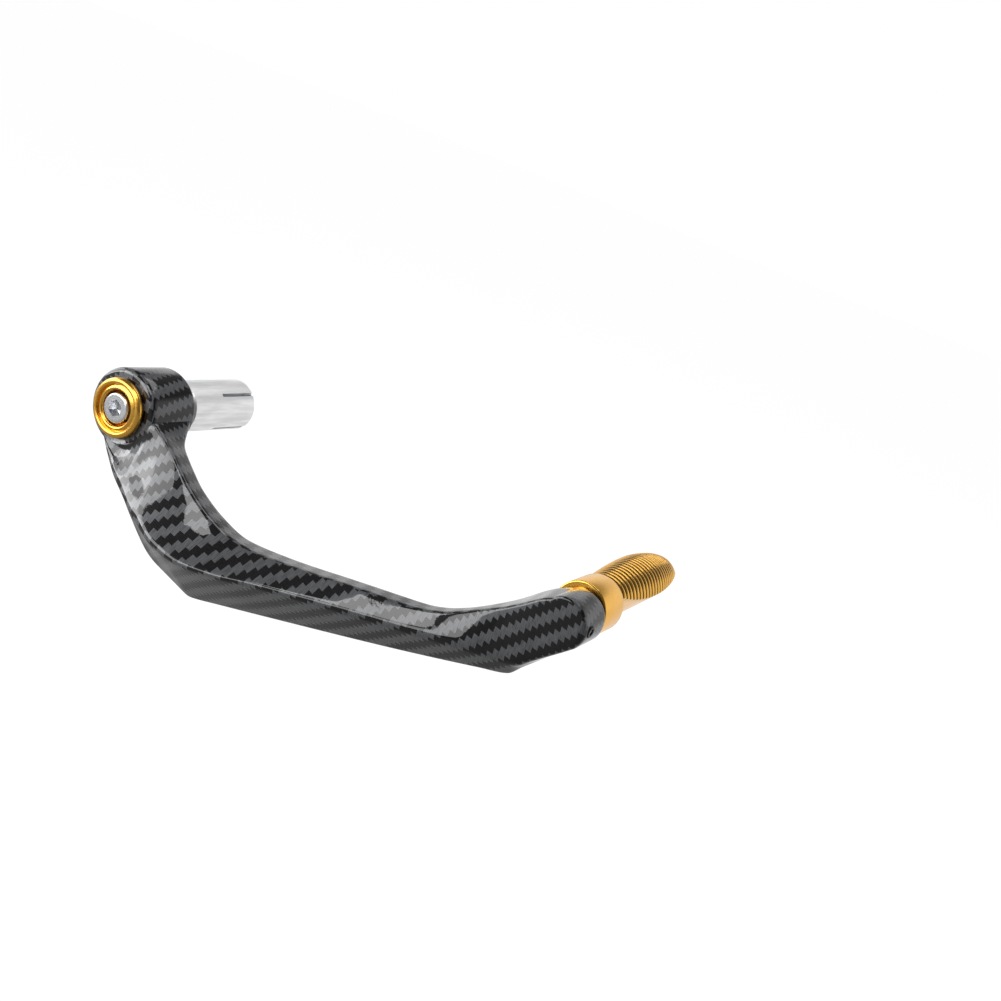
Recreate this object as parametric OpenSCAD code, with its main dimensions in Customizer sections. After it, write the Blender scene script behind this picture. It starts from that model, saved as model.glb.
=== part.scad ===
// Brake lever guard for the end of a tubular handlebar, in millimetres.
// Origin: on the expander's axis, where the sleeve's full diameter begins.
// +Y goes into the bar, +X runs to the guard's tip, the arm bows to -Z.

/* [Head boss] */
// outer diameter of the round boss at the bar end
head_d = 26.6; // [22:0.2:32]
// depth of the boss along the bar
head_w = 17.2; // [12:0.2:24]
// rounding of the boss's outer rim
head_round = 1.8; // [0.5:0.1:3]
// rounding of the boss's rim on the bar's side
head_rear_round = 1.2; // [0.3:0.1:3]
// diameter of the low land that faces the sleeve
land_d = 12.6; // [10:0.2:16]
// height of that land
land_h = 1.0; // [0.5:0.1:2]

/* [Arm edges] */
// rounding of the broad ridge on the arm's outside
ridge_round = 2.2; // [0.5:0.1:4]
// rounding of the front edge on the hollow side
inner_round = 1.1; // [0.3:0.1:3]
// chamfer of the rear edge on the hollow side
rear_chamfer = 1.3; // [0.3:0.1:3]
// rounding of the two lower edges
low_round = 1.2; // [0.3:0.1:3]

/* [Tip] */
// distance from the expander's axis to the middle of the nose
nose_x = 165.2; // [150:0.2:180]
// height of the middle of the nose
nose_z = -0.1; // [-4:0.1:4]
// radius of the nose in side view
nose_r = 8.4; // [6:0.1:12]
// rounding of the nose toward its outer face
nose_round = 2.4; // [0.5:0.1:4]
// position of the tip's flat rear face
tip_rear_y = 3.3; // [0:0.1:8]
// distance from the middle of the nose back to the grip's axis
grip_setback = 1.7; // [0:0.1:6]
// height of the grip's axis
grip_z = 0.4; // [-4:0.1:4]

/* [Cap washer] */
// diameter of the cap over its rounded rim
cap_d = 20.0; // [16:0.2:26]
// radius of the rounded rim
cap_bead_r = 1.25; // [0.6:0.05:2]
// diameter of the well around the bolt's head
cap_well_d = 11.8; // [10.6:0.1:14]
// diameter of the spigot that centres the cap
cap_spigot_d = 14.0; // [12.5:0.1:18]
// thickness of the floor that the bolt pulls on
cap_floor = 1.4; // [0.8:0.1:3]

/* [Bolt] */
// nominal diameter of the clamping bolt
bolt_d = 6.0; // [5:0.5:8]
// diameter of its socket head
bolt_head_d = 10.0; // [8:0.5:13]
// height of its socket head
bolt_head_h = 6.0; // [4:0.5:8]
// how far the head stands in front of the boss
bolt_proud = 2.35; // [0:0.05:4]
// how far the bolt ends short of the nut's end
bolt_short = 0.55; // [0:0.05:3]
// width across flats of the hexagon socket
bolt_hex = 5.0; // [4:0.5:6]

/* [Expander] */
// outer diameter of the slotted sleeve
sleeve_d = 18.0; // [12:0.5:20]
// length of the sleeve at full diameter
sleeve_len = 26.5; // [18:0.5:40]
// diameter of the bright neck behind the boss
neck_d = 11.6; // [9:0.2:14]
// length of the neck
neck_len = 3.1; // [1:0.1:6]
// length of the slots, from the inner end
slot_len = 14.0; // [8:0.5:22]
// width of the slots
slot_w = 1.2; // [0.6:0.1:2.5]
// turn of the first slot about the axis
slot_turn = 45; // [0:1:89]
// inner radius at the mouth of the sleeve's cone
cone_mouth_r = 6.9; // [6:0.1:7.2]
// inner radius at the root of the sleeve's cone
cone_root_r = 4.0; // [3.5:0.1:6]
// length of the sleeve's cone
cone_len = 14.5; // [10:0.5:18]
// diameter of the knurled rim of the cone nut
rim_d = 14.8; // [14.4:0.1:15.6]
// length of the knurled rim
rim_len = 4.4; // [2:0.2:8]
// how far the rim stands out of the sleeve
rim_out = 1.4; // [0.4:0.1:4]
// number of knurl teeth on the rim
knurl_count = 48; // [24:2:72]
// depth of the knurl
knurl_depth = 0.3; // [0.1:0.05:0.6]

/* [Grip] */
// diameter of the smooth collar
collar_d = 18.6; // [14:0.2:24]
// length of the collar
collar_len = 12.4; // [6:0.2:20]
// height of the shoulder between collar and tip
shoulder_h = 1.0; // [0.4:0.1:2]
// diameter of the shoulder
shoulder_d = 14.0; // [10:0.5:16]
// diameter of the spigot that goes into the tip
spigot_d = 8.0; // [6:0.5:10]
// length of the spigot
spigot_len = 11.4; // [8:0.2:12]
// distance from one groove to the next
groove_pitch = 1.0; // [0.8:0.05:2]
// depth of the grooves
groove_depth = 0.4; // [0.1:0.05:0.8]
// distance of the barrel's milled side from its axis, where it is fullest
side_depth = 6.2; // [4:0.1:9]
// how far that side bows along the barrel
side_bow = 4.2; // [1:0.1:5]
// turn of that side below the outward direction
side_turn = 40; // [-90:1:90]

/* [Grip screw] */
// nominal diameter of the headless screw that holds the spigot
screw_d = 4.0; // [3:0.5:5]
// width across flats of its hexagon socket
screw_hex = 2.0; // [1.5:0.5:2.5]
// position of the screw along the grip's axis
screw_y = -5.9; // [-7:0.1:0]
// how far the screw stands out of the nose
screw_proud = 0.3; // [0:0.1:1]

/* [Fits] */
// gap all round between a spigot and its bore
spigot_gap = 0.15; // [0.05:0.05:0.5]
// gap all round a bolt or screw
bolt_gap = 0.2; // [0.1:0.05:0.6]

/* [Hidden] */
$fn = 64;

// planes along the bar's axis, front to back
rear_face_y = -neck_len - land_h;
front_face_y = rear_face_y - head_w;
bolt_seat_y = front_face_y - bolt_proud + bolt_head_h;
cap_end_y = bolt_seat_y + cap_floor;
rim_y = sleeve_len + rim_out - rim_len;
cone_mouth_y = rim_y - spigot_gap;
bolt_len = rim_y + rim_len - bolt_short - bolt_seat_y;
collar_y = tip_rear_y + shoulder_h;
barrel_y = collar_y + collar_len;
grip_x = nose_x - grip_setback;

// The tables below are drawn for a nose at drawn_x. Past the knee they stretch with nose_x.
drawn_x = 165.2;
knee_x = 45;
stretch = (nose_x - knee_x) / (drawn_x - knee_x);
function drawn(x) = x < knee_x ? x : knee_x + (x - knee_x) / stretch;
function real(x) = x < knee_x ? x : knee_x + (x - knee_x) * stretch;

// Edges of the arm as [x, y, z] from head to tip.
// The inner front edge: round the cap, then along the hollow side.
inner_front = [
    [-9.5, -21.2, -6.5], [-5, -21.2, -9.4], [0, -21.2, -10.8], [5, -21.2, -9.8], [8, -21.2, -7.8],
    [11, -21.1, -3.2], [13.5, -20.9, 0.2], [17, -20.6, -1.5], [23, -21, -4.9], [29, -21.4, -9],
    [36, -21.7, -13.8], [45, -21.9, -18.2], [53, -21.4, -21], [62, -20.6, -22.1], [75, -19.6, -20.9],
    [102, -16.9, -17.5], [116, -15, -16.2], [122, -14.2, -15.1], [128, -13.3, -13.4],
    [134, -12.3, -10.6], [140, -11.6, -7.2], [146, -10.8, -3.7], [152, -10.2, 0.5], [158, -10, 5],
    [166, -9.9, 8], [174, -9.8, 8]
];

// The inner rear edge: falls from the boss, then rises to the tip's rear.
inner_rear = [
    [-9.5, -7, 3], [9, -5.6, 2], [12.5, -5, 0.8], [16, -8.3, -2.3], [19, -11.3, -5], [23, -13.3, -6.9],
    [28, -14.2, -10.2], [35, -14.9, -14.7], [45, -14.8, -19.4], [57, -14.1, -22.5],
    [72, -13.1, -21.5], [97, -10.7, -18.3], [111, -9.2, -16.5], [122, -8, -15], [128, -7.5, -13.2],
    [134, -7, -10.3], [138, -6.4, -8], [141.5, -4.3, -5.9], [146, -0.2, -3.1],
    [149.5, 3.1, -0.1], [152, 3.3, 2.1], [156.5, 3.3, 5.2], [160.4, 3.3, 7], [174, 3.3, 8]
];

// The outer ridge: bows out in front of the boss and runs straight to the tip.
outer_ridge = [
    [-9.5, -20.9, -8], [-5, -21.3, -10.8], [0, -22.8, -15], [4, -24.2, -17.6], [9, -26.2, -19.8],
    [14.5, -28, -21.6], [26, -31.8, -25], [38.5, -35, -28.7], [49, -36, -29.5], [61, -34.2, -28.7],
    [75, -30.8, -26.4], [113, -21.6, -21.8], [134, -17.2, -19.4], [152, -12.7, -17.7],
    [157, -11.8, -17.5], [160, -11, -15.2], [171.1, -10, -6], [174, -9.8, -3]
];

// The bevel's lower edge: leaves the ridge below the boss and turns at the knee.
low_front = [
    [-9.5, -18, -8.4], [-5, -19, -11.4], [0, -20.5, -15.8], [4, -22, -18.4], [9, -24.2, -20.8],
    [14.5, -26.5, -23], [25, -29.8, -28.4], [30, -24.6, -39.2], [36, -21, -44.2], [42, -18.8, -47.8],
    [43.5, -18.5, -48.5], [45, -18.3, -48.3], [55.5, -17.7, -45.9], [75.5, -16, -41.5],
    [114, -12.2, -33], [132, -10.2, -28.8], [145, -8.8, -25.6], [153.6, -7.5, -23.5],
    [157, -6.6, -19.9], [161, -4.3, -15.9], [165.4, -3, -11.4], [171.1, -3, -6], [174, -3, -3]
];

// The lower edge of the back.
low_rear = [
    [-9.5, -7, -8.2], [4, -9, -15], [14.5, -11.8, -21.5], [25, -15.2, -31], [30, -16.2, -38.2],
    [36, -17.1, -43.6], [42, -17.3, -47.2], [43.5, -17.2, -47.9], [45, -17, -47.7],
    [55.5, -16.5, -45.4], [75.5, -14.8, -41], [114, -10.8, -32.6], [132, -8.6, -28.5],
    [145, -6.6, -25.4], [150, -6.2, -24.3], [153.6, -5.5, -23.3], [157, -2.5, -19.9],
    [160, 1.8, -17], [162, 3.3, -15.1], [171.1, 3.3, -6.1], [174, 3.3, -3]
];

// Radius of the grip's barrel against the distance from its collar.
barrel_shape = [
    [0, 8.6], [6.3, 9.15], [12.6, 9.8], [18.9, 10.35], [25.1, 10.65], [28.3, 10.7],
    [34.6, 10.25], [40.9, 9.3], [46, 7.9]
];
barrel_len = barrel_shape[len(barrel_shape) - 1][0];
groove_count = floor(barrel_len / groove_pitch);

// index of the piece of a curve that holds x
function piece(t, x, i = 0) = (i >= len(t) - 2 || x <= t[i + 1][0]) ? i : piece(t, x, i + 1);

// slope of column k between points i and i + 1
function secant(t, i, k) = (t[i + 1][k] - t[i][k]) / (t[i + 1][0] - t[i][0]);

// slope at point i that never overshoots
function slope(t, i, k) =
    i == 0 ? secant(t, 0, k)
    : i == len(t) - 1 ? secant(t, i - 1, k)
    : let (a = secant(t, i - 1, k), b = secant(t, i, k)) a * b <= 0 ? 0 : 2 * a * b / (a + b);

// smooth curve through the points of t: column k at x
function on(t, x, k) = let (
    i = piece(t, x),
    w = t[i + 1][0] - t[i][0],
    s = (x - t[i][0]) / w,
    p = t[i][k],
    q = t[i + 1][k],
    m = slope(t, i, k) * w,
    n = slope(t, i + 1, k) * w
) p + m * s + (3 * (q - p) - 2 * m - n) * s * s + (2 * (p - q) + m + n) * s * s * s;

// half the height of the round nose at x
function nose_half(x) = sqrt(max(0, nose_r * nose_r - (x - nose_x) * (x - nose_x)));

// how far a rounding of radius r has drawn a face back at x
function nose_back(x, r) = let (d = x - (nose_x + nose_r - r))
    d <= 0 ? 0 : r - sqrt(max(0, r * r - d * d));

// height of an upper edge, which follows the nose past its tangent point
function upper(t, x) = x > nose_x - 0.57 * nose_r ? nose_z + nose_half(x) : on(t, drawn(x), 2);

// height of a lower edge, which follows the nose near its end
function lower(t, x) = x > nose_x + 0.7 * nose_r ? nose_z - nose_half(x) : on(t, drawn(x), 2);

// points [y, z] that round the corner b between a and c
function rounded(a, b, c, r) = let (
    p = b + (a - b) * min(0.3, r / norm(a - b)),
    q = b + (c - b) * min(0.3, r / norm(c - b))
) [for (s = [0, 1 / 3, 2 / 3, 1]) p * (1 - s) * (1 - s) + b * 2 * s * (1 - s) + q * s * s];

// the broad face leaves the boss level and is flat further along the arm
function level(x) = x < 10 ? 1 : x > 24 ? 0 : (24 - x) / 14;

// points of the broad face between the inner edge a and the ridge b
function broad(a, b, x) = let (
    m = a + (b - a) * 0.45,
    c = [m[0] + (a[0] - m[0]) * level(x), m[1]]
) [for (s = [0.38, 0.5, 0.62]) a * (1 - s) * (1 - s) + c * 2 * s * (1 - s) + b * s * s];

// outline of the arm across x, as points [y, z]
function section(x) = let (
    front = nose_back(x, nose_round),
    back = nose_back(x, low_round),
    u = drawn(x),
    r1 = [on(inner_rear, u, 1) - back, upper(inner_rear, x)],
    r2 = [on(inner_front, u, 1) + front, upper(inner_front, x)],
    r3 = [on(outer_ridge, u, 1) + front, lower(outer_ridge, x)],
    r4 = [on(low_front, u, 1), lower(low_front, x)],
    r5 = [on(low_rear, u, 1) - back, lower(low_rear, x)]
) concat(
    rounded(r5, r1, r2, rear_chamfer),
    rounded(r1, r2, r3, inner_round),
    broad(r2, r3, x),
    rounded(r2, r3, r4, ridge_round),
    rounded(r3, r4, r5, low_round),
    rounded(r4, r5, r1, low_round)
);

// places along the arm where an outline is drawn
stations = concat(
    [-9.5, -7.5, -5, -2.5, 0, 2.5, 5, 7, 9, 10.5, 12, 13.5],
    [for (x = [15:2:47]) x],
    [for (x = [50, 53, 57, 62]) real(x)],
    [for (x = [69:8:117]) real(x)],
    [for (x = [121:2.5:158.5]) real(x)],
    [for (x = [160.5, 162.5, 165.2]) real(x)],
    [for (a = [75:-10:15]) nose_x + nose_r * cos(a)],
    [nose_x + nose_r * cos(4)]
);

// closed skin over the outlines, front cap and rear cap included
module arm_loft() {
    rings = [for (x = stations) [for (p = section(x)) [x, p[0], p[1]]]];
    m = len(rings[0]);
    n = len(rings);
    skin = [for (i = [0:n - 2], j = [0:m - 1], h = [0, 1]) let (
        a = i * m + j,
        b = i * m + (j + 1) % m,
        c = b + m,
        d = a + m
    ) h == 0 ? [a, d, c] : [a, c, b]];
    ends = [[for (j = [0:m - 1]) j], [for (j = [m - 1:-1:0]) (n - 1) * m + j]];
    polyhedron(points = [for (r = rings, p = r) p], faces = concat(skin, ends), convexity = 8);
}

// turns a profile of [radius, y] points about the Y axis
module turned(points) {
    rotate([-90, 0, 0]) rotate_extrude() polygon(points);
}

// round bar along Y from y0 to y1
module bar(d, y0, y1) {
    translate([0, y0, 0]) rotate([-90, 0, 0]) cylinder(d = d, h = y1 - y0);
}

// quarter arc about [r, y] from angle a to b, in steps
function arc(r, y, k, a, b) = [for (s = [0:4]) let (w = a + (b - a) * s / 4) [r + k * cos(w), y + k * sin(w)]];

// Moulded arm with its round boss, its twisted blade and its pointed tip.
module guard_arm() {
    color([0.05, 0.05, 0.06]) difference() {
        union() {
            turned(concat(
                [[0, front_face_y]],
                arc(head_d / 2 - head_round, front_face_y + head_round, head_round, -90, 0),
                arc(head_d / 2 - head_rear_round, rear_face_y - head_rear_round, head_rear_round, 0, 90),
                [[0, rear_face_y]]
            ));
            bar(land_d, rear_face_y - 1, rear_face_y + land_h);
            arm_loft();
        }
        bar(cap_spigot_d + 2 * spigot_gap, front_face_y - 5, cap_end_y + spigot_gap);
        bar(bolt_d + 2 * bolt_gap, cap_end_y - 1, 1);
        translate([grip_x, 0, grip_z])
            bar(spigot_d + 2 * spigot_gap, tip_rear_y - spigot_len - spigot_gap, tip_rear_y + 1);
        translate([grip_x, screw_y, grip_z]) rotate([0, 90, 0]) cylinder(d = screw_d + 2 * bolt_gap, h = 20);
    }
}

// Anodised cup washer that covers the boss and takes the bolt's pull.
module cap_washer() {
    rim_r = cap_d / 2 - cap_bead_r;
    color([0.83, 0.55, 0.1]) turned(concat(
        [[bolt_d / 2 + bolt_gap, cap_end_y], [bolt_d / 2 + bolt_gap, bolt_seat_y]],
        [[cap_well_d / 2, bolt_seat_y], [cap_well_d / 2, front_face_y - 1.3]],
        [[cap_well_d / 2 + 0.45, front_face_y - 2.1], [cap_well_d / 2 + 0.9, front_face_y - 2.2]],
        [[rim_r - 0.9, front_face_y - 1.5]],
        arc(rim_r, front_face_y - cap_bead_r, cap_bead_r, -120, 0),
        arc(rim_r, front_face_y - cap_bead_r, cap_bead_r, 0, 90),
        [[cap_spigot_d / 2, front_face_y], [cap_spigot_d / 2, cap_end_y]]
    ));
}

// Socket head bolt that draws the cone nut into the sleeve.
module bar_bolt() {
    head_y = bolt_seat_y - bolt_head_h;
    color([0.75, 0.76, 0.78]) difference() {
        turned([
            [0, head_y], [bolt_head_d / 2 - 0.6, head_y], [bolt_head_d / 2, head_y + 0.6],
            [bolt_head_d / 2, bolt_seat_y], [bolt_d / 2, bolt_seat_y],
            [bolt_d / 2, bolt_seat_y + bolt_len - 0.8], [bolt_d / 2 - 0.8, bolt_seat_y + bolt_len],
            [0, bolt_seat_y + bolt_len]
        ]);
        translate([0, head_y - 1, 0]) rotate([-90, 30, 0]) cylinder(d = bolt_hex / cos(30), h = 4, $fn = 6);
    }
}

// Slotted sleeve that opens inside the bar, turned in one piece with its neck.
module expander_sleeve() {
    color([0.86, 0.86, 0.87]) difference() {
        turned([
            [bolt_d / 2 + bolt_gap, -neck_len], [neck_d / 2, -neck_len], [neck_d / 2, 0],
            [sleeve_d / 2, 0], [sleeve_d / 2, sleeve_len - 0.3], [sleeve_d / 2 - 0.3, sleeve_len],
            [rim_d / 2 + spigot_gap, sleeve_len], [rim_d / 2 + spigot_gap, cone_mouth_y],
            [cone_mouth_r, cone_mouth_y], [cone_root_r, cone_mouth_y - cone_len],
            [bolt_d / 2 + bolt_gap, cone_mouth_y - cone_len]
        ]);
        for (a = [0:90:359]) rotate([0, slot_turn + a, 0])
            translate([-slot_w / 2, sleeve_len - slot_len, 0]) cube([slot_w, slot_len + 1, sleeve_d]);
    }
}

// Zinc plated nut whose cone spreads the sleeve.
module cone_nut() {
    small_y = cone_mouth_y - 0.8 * cone_len;
    small_r = cone_root_r + 0.2 * (cone_mouth_r - cone_root_r);
    color([0.7, 0.72, 0.74]) difference() {
        union() {
            turned([[0, small_y], [small_r, small_y], [cone_mouth_r, cone_mouth_y], [cone_mouth_r, rim_y], [0, rim_y]]);
            translate([0, rim_y, 0]) rotate([-90, 0, 0]) linear_extrude(rim_len) polygon([
                for (i = [0:2 * knurl_count - 1]) let (
                    r = rim_d / 2 - (i % 2) * knurl_depth,
                    a = 180 * i / knurl_count
                ) [r * cos(a), r * sin(a)]
            ]);
        }
        bar(bolt_d + 2 * bolt_gap, small_y - 1, rim_y + rim_len + 1);
    }
}

// Ribbed barrel, with one side milled to a shallow bow.
module barrel() {
    bow_r = barrel_len * barrel_len / (8 * side_bow) + side_bow / 2;
    intersection() {
        turned(concat(
            [[0, barrel_y - 1], [barrel_shape[0][1] - groove_depth, barrel_y - 1]],
            [for (i = [0:groove_count - 1], h = [0, 1]) let (u = (i + h / 2 + 0.05) * groove_pitch)
                [on(barrel_shape, u, 1) - (1 - h) * groove_depth, barrel_y + u]],
            [[on(barrel_shape, barrel_len, 1) - 0.5, barrel_y + barrel_len], [0, barrel_y + barrel_len]]
        ));
        rotate([0, side_turn, 0]) translate([side_depth - bow_r, barrel_y + barrel_len / 2, 0])
            cylinder(r = bow_r, h = 40, center = true, $fn = 240);
    }
}

// Turned grip: smooth collar and ribbed barrel, on a spigot with a flat.
module tip_grip() {
    flat = spigot_d / 2 - 0.6;
    color([0.83, 0.55, 0.1]) translate([grip_x, 0, grip_z]) difference() {
        union() {
            turned([
                [0, tip_rear_y - spigot_len], [spigot_d / 2 - 0.5, tip_rear_y - spigot_len],
                [spigot_d / 2, tip_rear_y - spigot_len + 0.5], [spigot_d / 2, tip_rear_y],
                [shoulder_d / 2, tip_rear_y], [shoulder_d / 2, collar_y],
                [collar_d / 2 - 0.5, collar_y], [collar_d / 2, collar_y + 0.5],
                [collar_d / 2, barrel_y - 0.3], [collar_d / 2 - 0.3, barrel_y], [0, barrel_y]
            ]);
            barrel();
        }
        translate([flat, screw_y - screw_d, -spigot_d]) cube([spigot_d, 2 * screw_d, 2 * spigot_d]);
    }
}

// Headless screw in the nose that bears on the spigot's flat.
module grip_screw() {
    tip = grip_x + spigot_d / 2 - 0.6;
    end = nose_x + nose_r + screw_proud;
    color([0.12, 0.12, 0.13]) translate([0, screw_y, grip_z]) difference() {
        translate([tip, 0, 0]) rotate([0, 90, 0]) rotate_extrude() polygon([
            [0, 0], [screw_d / 2 - 0.5, 0], [screw_d / 2, 0.5],
            [screw_d / 2, end - tip - 0.3], [screw_d / 2 - 0.3, end - tip], [0, end - tip]
        ]);
        translate([end - 2, 0, 0]) rotate([0, 90, 0]) cylinder(d = screw_hex / cos(30), h = 3, $fn = 6);
    }
}

guard_arm();
cap_washer();
bar_bolt();
expander_sleeve();
cone_nut();
tip_grip();
grip_screw();
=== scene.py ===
from functools import partial

import bpy
import numpy as np
from mathutils import Matrix, Vector


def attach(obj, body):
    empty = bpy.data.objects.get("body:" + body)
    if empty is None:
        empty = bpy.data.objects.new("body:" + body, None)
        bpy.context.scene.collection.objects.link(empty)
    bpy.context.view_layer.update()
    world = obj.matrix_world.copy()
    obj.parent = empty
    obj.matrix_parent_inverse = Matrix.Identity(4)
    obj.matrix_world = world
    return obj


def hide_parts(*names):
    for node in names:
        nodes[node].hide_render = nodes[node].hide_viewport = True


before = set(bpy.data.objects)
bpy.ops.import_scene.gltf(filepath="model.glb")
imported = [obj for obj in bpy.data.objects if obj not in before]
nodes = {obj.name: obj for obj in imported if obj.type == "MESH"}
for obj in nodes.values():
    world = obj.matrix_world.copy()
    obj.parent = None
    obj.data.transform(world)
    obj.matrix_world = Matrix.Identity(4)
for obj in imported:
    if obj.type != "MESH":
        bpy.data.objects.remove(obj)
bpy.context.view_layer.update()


# Guard arm
# One plastic moulding with a round boss, a twisted blade and a pointed tip, under a printed film
# and a clear coat. The blade is a skin over five edges, each a smooth curve along the arm. It is
# bored for the cap, the bolt, the grip's spigot and the grip's screw.
HEAD_RADIUS, FRONT_ROUND, REAR_ROUND = 13.3, 1.8, 1.2
FRONT_Y, REAR_Y = -21.3, -4.1
LAND_RADIUS, LAND_Y = 6.3, -3.1
CAP_BORE, CAP_BORE_Y = 7.15, -16.1
BOLT_BORE = 3.2
NOSE_X, NOSE_Z, NOSE_RADIUS = 165.2, -0.1, 8.4
GRIP_X, GRIP_Z = 163.5, 0.4
SPIGOT_BORE, SPIGOT_BORE_Y = 4.15, -8.25
SCREW_BORE, SCREW_Y = 2.2, -5.9

# The edges' points [x, y, z] in millimetres: x along the arm, y back from the front, z up.
INNER_FRONT = [
    [-9.5, -21.2, -6.5], [-5, -21.2, -9.4], [0, -21.2, -10.8], [5, -21.2, -9.8], [8, -21.2, -7.8],
    [11, -21.1, -3.2], [13.5, -20.9, 0.2], [17, -20.6, -1.5], [23, -21, -4.9], [29, -21.4, -9],
    [36, -21.7, -13.8], [45, -21.9, -18.2], [53, -21.4, -21], [62, -20.6, -22.1], [75, -19.6, -20.9],
    [102, -16.9, -17.5], [116, -15, -16.2], [122, -14.2, -15.1], [128, -13.3, -13.4],
    [134, -12.3, -10.6], [140, -11.6, -7.2], [146, -10.8, -3.7], [152, -10.2, 0.5], [158, -10, 5],
    [166, -9.9, 8], [174, -9.8, 8],
]
INNER_REAR = [
    [-9.5, -7, 3], [9, -5.6, 2], [12.5, -5, 0.8], [16, -8.3, -2.3], [19, -11.3, -5], [23, -13.3, -6.9],
    [28, -14.2, -10.2], [35, -14.9, -14.7], [45, -14.8, -19.4], [57, -14.1, -22.5],
    [72, -13.1, -21.5], [97, -10.7, -18.3], [111, -9.2, -16.5], [122, -8, -15], [128, -7.5, -13.2],
    [134, -7, -10.3], [138, -6.4, -8], [141.5, -4.3, -5.9], [146, -0.2, -3.1],
    [149.5, 3.1, -0.1], [152, 3.3, 2.1], [156.5, 3.3, 5.2], [160.4, 3.3, 7], [174, 3.3, 8],
]
OUTER_RIDGE = [
    [-9.5, -20.9, -8], [-5, -21.3, -10.8], [0, -22.8, -15], [4, -24.2, -17.6], [9, -26.2, -19.8],
    [14.5, -28, -21.6], [26, -31.8, -25], [38.5, -35, -28.7], [49, -36, -29.5], [61, -34.2, -28.7],
    [75, -30.8, -26.4], [113, -21.6, -21.8], [134, -17.2, -19.4], [152, -12.7, -17.7],
    [157, -11.8, -17.5], [160, -11, -15.2], [171.1, -10, -6], [174, -9.8, -3],
]
LOW_FRONT = [
    [-9.5, -18, -8.4], [-5, -19, -11.4], [0, -20.5, -15.8], [4, -22, -18.4], [9, -24.2, -20.8],
    [14.5, -26.5, -23], [25, -29.8, -28.4], [30, -24.6, -39.2], [36, -21, -44.2], [42, -18.8, -47.8],
    [43.5, -18.5, -48.5], [45, -18.3, -48.3], [55.5, -17.7, -45.9], [75.5, -16, -41.5],
    [114, -12.2, -33], [132, -10.2, -28.8], [145, -8.8, -25.6], [153.6, -7.5, -23.5],
    [157, -6.6, -19.9], [161, -4.3, -15.9], [165.4, -3, -11.4], [171.1, -3, -6], [174, -3, -3],
]
LOW_REAR = [
    [-9.5, -7, -8.2], [4, -9, -15], [14.5, -11.8, -21.5], [25, -15.2, -31], [30, -16.2, -38.2],
    [36, -17.1, -43.6], [42, -17.3, -47.2], [43.5, -17.2, -47.9], [45, -17, -47.7],
    [55.5, -16.5, -45.4], [75.5, -14.8, -41], [114, -10.8, -32.6], [132, -8.6, -28.5],
    [145, -6.6, -25.4], [150, -6.2, -24.3], [153.6, -5.5, -23.3], [157, -2.5, -19.9],
    [160, 1.8, -17], [162, 3.3, -15.1], [171.1, 3.3, -6.1], [174, 3.3, -3],
]
# The edges in order round the arm. Each has the radius that rounds it off at the nose's end, over
# zero towards the rear and under zero towards the front, and says if it ends on the upper half.
EDGES = (
    (INNER_REAR, -1.2, True),
    (INNER_FRONT, 2.4, True),
    (OUTER_RIDGE, 2.4, False),
    (LOW_FRONT, 0, False),
    (LOW_REAR, -1.2, False),
)
# The radius and the number of points of the rounding along each of those edges. A rounding takes
# at most CORNER_SHARE of the face on either side of it.
CORNER_ROUNDS = ((1.3, 7), (1.1, 7), (2.2, 9), (1.2, 7), (1.2, 7))
CORNER_SHARE = 0.3
# Where the edges pass onto the nose's half circle, as shares of its radius from its centre.
UPPER_TANGENT, LOWER_TANGENT = -0.57, 0.7
# The edges are eased between two places along the arm, over so many millimetres.
EASED_FROM, EASED_TO, EASED_OVER = 14, 155, 1.0
# The broad face bends here between its edges. It is level with the boss up to BROAD_LEVEL_TO and
# flat from BROAD_FLAT_FROM on.
BROAD_BEND, BROAD_LEVEL_TO, BROAD_FLAT_FROM, BROAD_POINTS = 0.45, 8, 28, 9


def edge(table, x):
    """Smooth curve [y, z] through an edge's points at every x. Each stretch is a cubic, whose
    slope at a point is the harmonic mean of the slopes beside it, or zero where they turn."""
    points = np.array(table, float)
    width = np.diff(points[:, 0])
    fall = np.diff(points[:, 1:], axis=0) / width[:, None]
    turn = fall[:-1] * fall[1:]
    mean = np.where(turn > 0, 2 * turn / np.where(turn > 0, fall[:-1] + fall[1:], 1), 0)
    slope = np.vstack([fall[:1], mean, fall[-1:]])
    i = np.clip(np.searchsorted(points[:, 0], x) - 1, 0, len(width) - 1)
    s = ((x - points[i, 0]) / width[i])[:, None]
    start, end = points[i, 1:], points[i + 1, 1:]
    leave, arrive = slope[i] * width[i][:, None], slope[i + 1] * width[i][:, None]
    square = 3 * (end - start) - 2 * leave - arrive
    cube = 2 * (start - end) + leave + arrive
    return start + leave * s + square * s**2 + cube * s**3


def eased(x, y):
    """Averages y over a Gaussian along x, so that the cubics' joins don't show in a gloss. It
    fades in and out over 4 mm at EASED_FROM and EASED_TO."""
    step, taps, margin, fade = 0.25, 24, 12, 4
    even = np.arange(x[0] - margin, x[-1] + margin, step)
    held = [np.interp(even, x, y[:, k]) for k in (0, 1)]
    bell = np.exp(-0.5 * (np.arange(-taps, taps + 1) * step / EASED_OVER) ** 2)
    soft = [np.convolve(line, bell / bell.sum(), "same") for line in held]
    soft = np.array([np.interp(x, even, line) for line in soft]).T
    share = np.clip(np.minimum(x - EASED_FROM, EASED_TO - x) / fade, 0, 1)[:, None]
    return y + (soft - y) * share


def quadratic(start, pull, end, s):
    """Points at shares s along quadratic arcs from start to end, which bend towards pull."""
    s = s[None, :, None]
    return start[:, None] * (1 - s) ** 2 + 2 * pull[:, None] * s * (1 - s) + end[:, None] * s**2


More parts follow.
